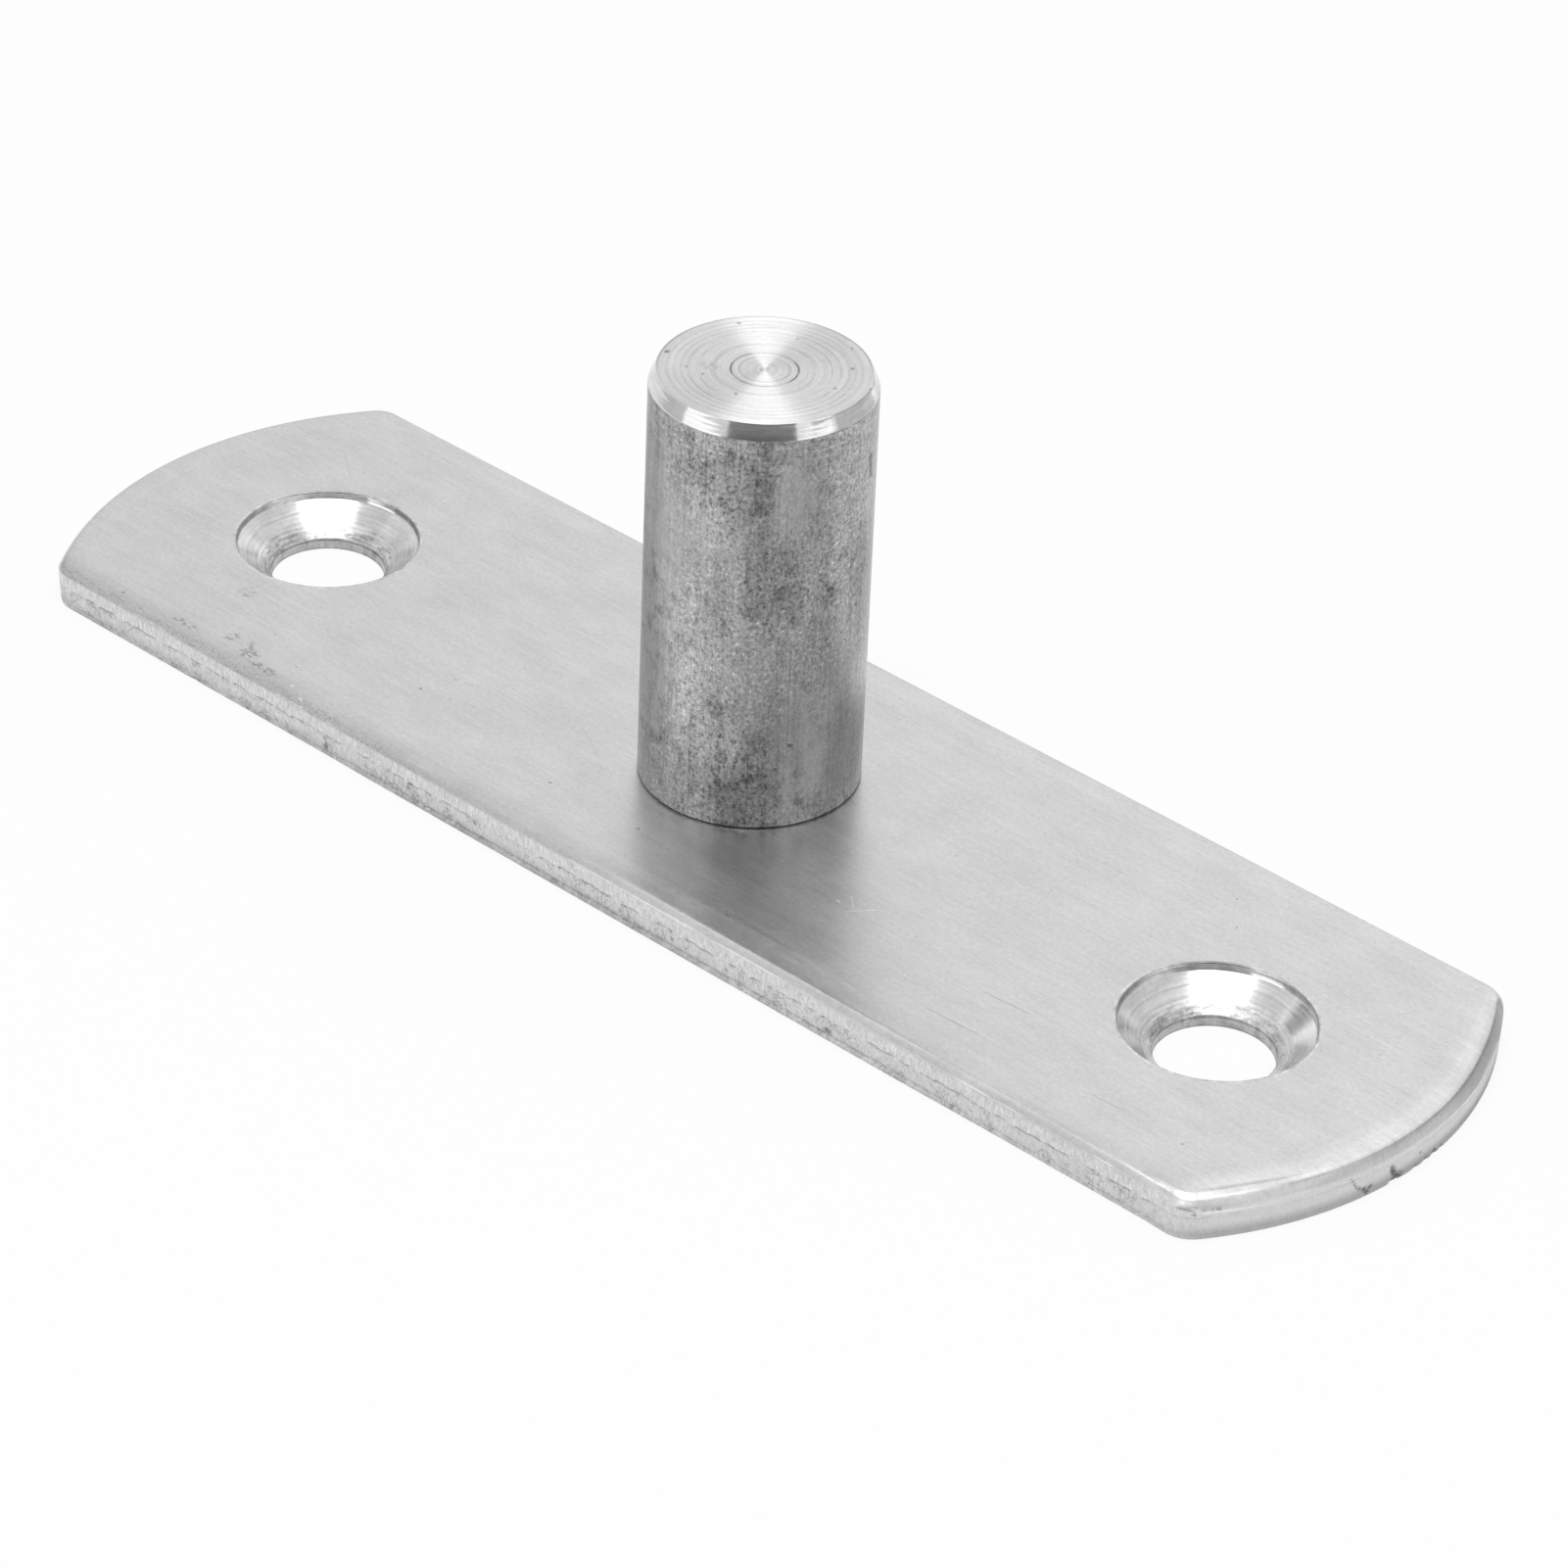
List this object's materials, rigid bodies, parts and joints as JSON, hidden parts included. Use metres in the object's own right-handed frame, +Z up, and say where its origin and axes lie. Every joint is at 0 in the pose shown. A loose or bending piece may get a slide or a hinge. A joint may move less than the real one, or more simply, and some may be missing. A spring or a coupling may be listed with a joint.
{
  "type": "pivot hinge",
  "caption": "Pivot hinge leaf: a flat steel plate with arc-shaped ends and countersunk screw holes, with an upright steel pin riveted in its middle.",
  "frame": {"origin": "on the pin's axis, at the plate's underside", "axes": "+X along the plate, +Y across it, +Z up along the pin, away from the face that is screwed down"},
  "size_m": [0.106, 0.03, 0.0315],
  "materials": {
    "plate_steel": "brushed along the strip, bright, with a sheared edge",
    "pin_steel": "drawn bar, dull and mottled, with a faced and chamfered end"
  },
  "bodies": {
    "root": {"mounting_plate": "plate_steel", "pivot_pin": "pin_steel"}
  },
  "joints": []
}
